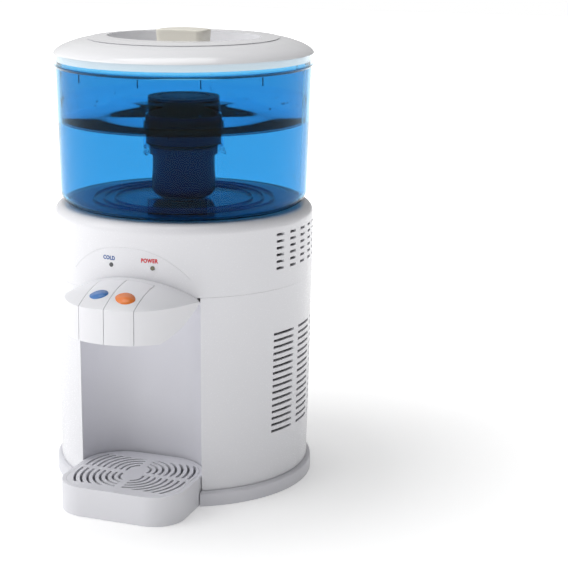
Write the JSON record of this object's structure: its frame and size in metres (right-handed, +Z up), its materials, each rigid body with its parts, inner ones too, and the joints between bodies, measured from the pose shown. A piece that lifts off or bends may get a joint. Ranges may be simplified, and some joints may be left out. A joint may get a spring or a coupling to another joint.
{
  "type": "countertop water dispenser",
  "caption": "Countertop water dispenser: clear filter tank on a round cabinet with a glass alcove, two push taps, a drip tray and an internal thermoelectric chiller.",
  "frame": {"origin": "cabinet axis on the table top, under the feet", "axes": "+Z up, -Y towards the user's side with the taps and tray, +X to the user's right"},
  "size_m": [0.256, 0.3165, 0.441],
  "materials": {
    "housing_white": "satin injection moulded ABS",
    "canopy_white": "satin injection moulded ABS",
    "base_grey": "fine matt",
    "foot_rubber": "matt",
    "inner_plastic": "matt",
    "tank_clear": "polished clear tinted plastic",
    "chamber_clear": "polished clear tinted plastic",
    "lid_clear": "polished translucent plastic",
    "grip_cream": "satin",
    "filter_navy": "satin",
    "filter_blue": "satin",
    "silicone": "matt translucent silicone",
    "seal_rubber": "matt",
    "steel": "brushed",
    "screw_steel": "zinc plated",
    "aluminium": "extruded",
    "ceramic": "alumina ceramic",
    "foam": "closed cell foam",
    "black_plastic": "glass filled nylon",
    "board_green": "solder mask",
    "zinc_sheet": "zinc coated sheet",
    "lamp_grey": "polished light guide",
    "lamp_olive": "polished light guide",
    "button_white": "satin injection moulded ABS"
  },
  "bodies": {
    "cabinet": {"base_plate": "base_grey", "rubber_feet": "foot_rubber", "lower_housing": "housing_white", "alcove_liner": "inner_plastic", "ceiling_panel": "inner_plastic", "upper_housing": "housing_white", "canopy": "canopy_white", "spout_plate": "inner_plastic", "button_pivot_pin": "steel", "cold_tap": "inner_plastic", "ambient_tap": "inner_plastic", "cold_spout": "inner_plastic", "ambient_spout": "inner_plastic", "cold_spring": "steel", "ambient_spring": "steel", "tank_seat": "housing_white", "cold_hose": "silicone", "ambient_hose": "silicone", "drain_hose": "silicone", "cold_reservoir": "steel", "reservoir_lid": "inner_plastic", "foam_jacket": "foam", "chiller_stand": "zinc_sheet", "cold_block": "aluminium", "peltier_module": "ceramic", "heat_sink": "aluminium", "fan_frame": "black_plastic", "power_supply": "zinc_sheet", "control_board": "board_green", "cold_lamp": "lamp_grey", "power_lamp": "lamp_olive", "rear_panel": "base_grey", "panel_screws": "screw_steel", "base_screws": "screw_steel", "power_inlet": "black_plastic", "switch_frame": "black_plastic", "drain_plug": "black_plastic"},
    "fan": {"fan_rotor": "black_plastic"},
    "rocker": {"rocker_switch": "black_plastic"},
    "cold_key": {"cold_button": "button_white"},
    "ambient_key": {"ambient_button": "button_white"},
    "cold_valve": {"cold_stem": "inner_plastic"},
    "ambient_valve": {"ambient_stem": "inner_plastic"},
    "tray": {"drip_tray": "housing_white"},
    "tray_grille": {"drip_grille": "housing_white"},
    "water_tank": {"tank": "tank_clear", "outlet_gasket": "seal_rubber"},
    "filter_chamber": {"raw_water_chamber": "chamber_clear", "filter_cartridge": "filter_navy", "filter_nut": "filter_blue", "filter_seal": "seal_rubber", "filter_head": "filter_blue", "filter_strainer": "chamber_clear", "filter_cap": "filter_blue"},
    "tank_lid": {"lid": "lid_clear", "lid_grip": "grip_cream"}
  },
  "joints": [
    {"name": "fan_spin", "type": "hinge", "parent": "cabinet", "child": "fan", "pos_m": [0, 0.0904, 0.152], "axis": [0, 1, 0], "continuous": true},
    {"name": "rocker_tilt", "type": "hinge", "parent": "cabinet", "child": "rocker", "pos_m": [0.009, 0.1181, 0.082], "axis": [1, 0, 0], "range_deg": [-8, 8]},
    {"name": "cold_press", "type": "hinge", "parent": "cabinet", "child": "cold_key", "pos_m": [-0.01365, -0.1315, 0.213], "axis": [1, 0, 0], "range_deg": [0, 5], "stiffness_Nm_per_rad": 1.2, "springref_deg": -3.44},
    {"name": "ambient_press", "type": "hinge", "parent": "cabinet", "child": "ambient_key", "pos_m": [0.01365, -0.1315, 0.213], "axis": [1, 0, 0], "range_deg": [0, 5], "stiffness_Nm_per_rad": 1.2, "springref_deg": -3.44},
    {"name": "cold_valve_lift", "type": "slide", "parent": "cabinet", "child": "cold_valve", "axis": [0, 0, -1], "range_m": [0, 0.0018], "stiffness_N_per_m": 5, "deforming": ["cold_spring"]},
    {"name": "ambient_valve_lift", "type": "slide", "parent": "cabinet", "child": "ambient_valve", "axis": [0, 0, -1], "range_m": [0, 0.0018], "stiffness_N_per_m": 5, "deforming": ["ambient_spring"]},
    {"name": "tray_slide", "type": "slide", "parent": "cabinet", "child": "tray", "axis": [0, -1, 0], "range_m": [0, 0.13]},
    {"name": "grille_lift", "type": "slide", "parent": "tray", "child": "tray_grille", "axis": [0, 0, 1], "range_m": [0, 0.05]},
    {"name": "tank_lift", "type": "slide", "parent": "cabinet", "child": "water_tank", "axis": [0, 0, 1], "range_m": [0, 0.15]},
    {"name": "chamber_lift", "type": "slide", "parent": "water_tank", "child": "filter_chamber", "axis": [0, 0, 1], "range_m": [0, 0.15]},
    {"name": "lid_lift", "type": "slide", "parent": "filter_chamber", "child": "tank_lid", "axis": [0, 0, 1], "range_m": [0, 0.12]}
  ],
  "couplings": [
    {"joint": "cold_valve_lift", "follows": "cold_press", "m_per_rad": 0.0195},
    {"joint": "ambient_valve_lift", "follows": "ambient_press", "m_per_rad": 0.0195}
  ]
}
